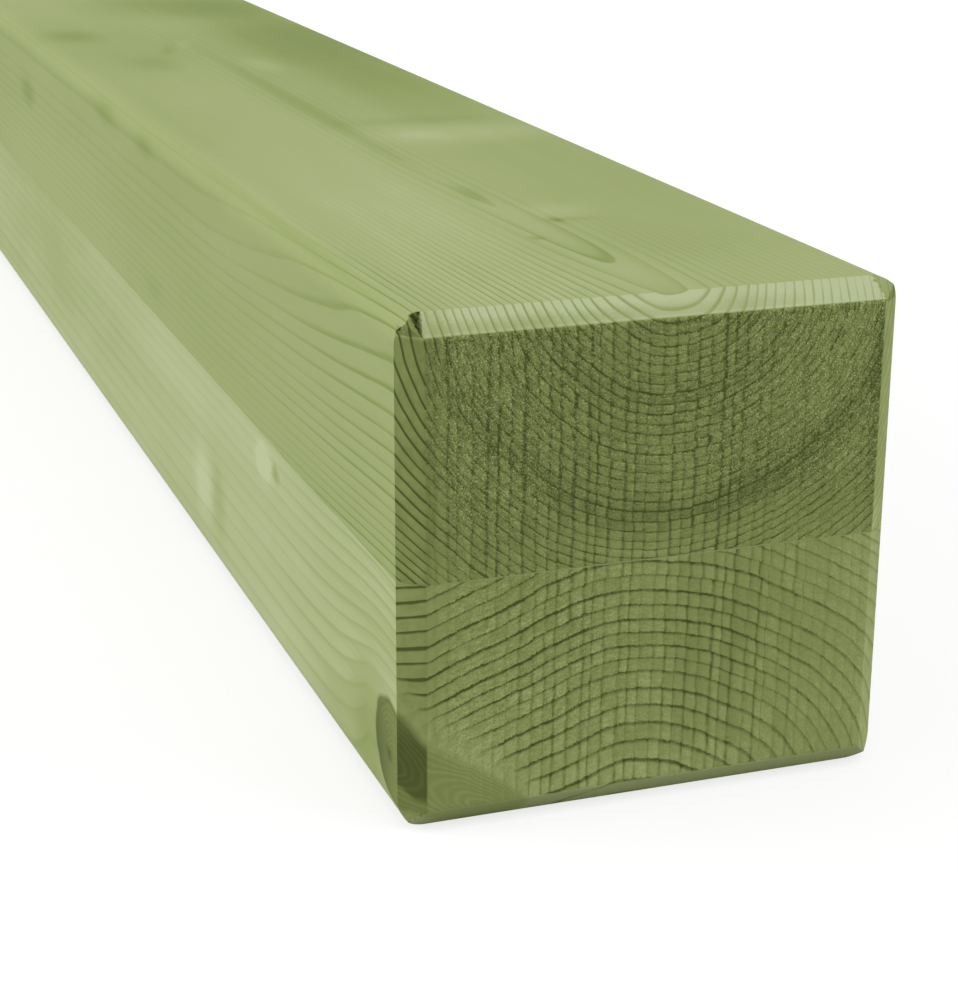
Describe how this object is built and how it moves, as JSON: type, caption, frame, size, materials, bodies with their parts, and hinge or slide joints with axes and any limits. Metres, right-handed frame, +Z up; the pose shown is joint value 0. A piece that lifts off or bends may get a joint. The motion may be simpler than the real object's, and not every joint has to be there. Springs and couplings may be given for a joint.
{
  "type": "glulam post",
  "caption": "Square pressure-treated softwood glulam post of glued laminations, with planed rounded edges, bevelled ends and one splintered corner.",
  "frame": {"origin": "middle of the post's length, centred across its width, on its underside as it lies", "axes": "+Y along the post away from the end with the broken corner, +X to the right seen from that end, +Z up through the glue line"},
  "size_m": [0.09, 2.4, 0.09],
  "materials": {
    "lower_lamination": "planed, green pressure-treated softwood",
    "glue_line": "cured clear adhesive between planed faces",
    "upper_lamination": "planed, green pressure-treated softwood"
  },
  "bodies": {
    "root": {"lower_lamination": "lower_lamination", "glue_line": "glue_line", "upper_lamination": "upper_lamination"}
  },
  "joints": []
}
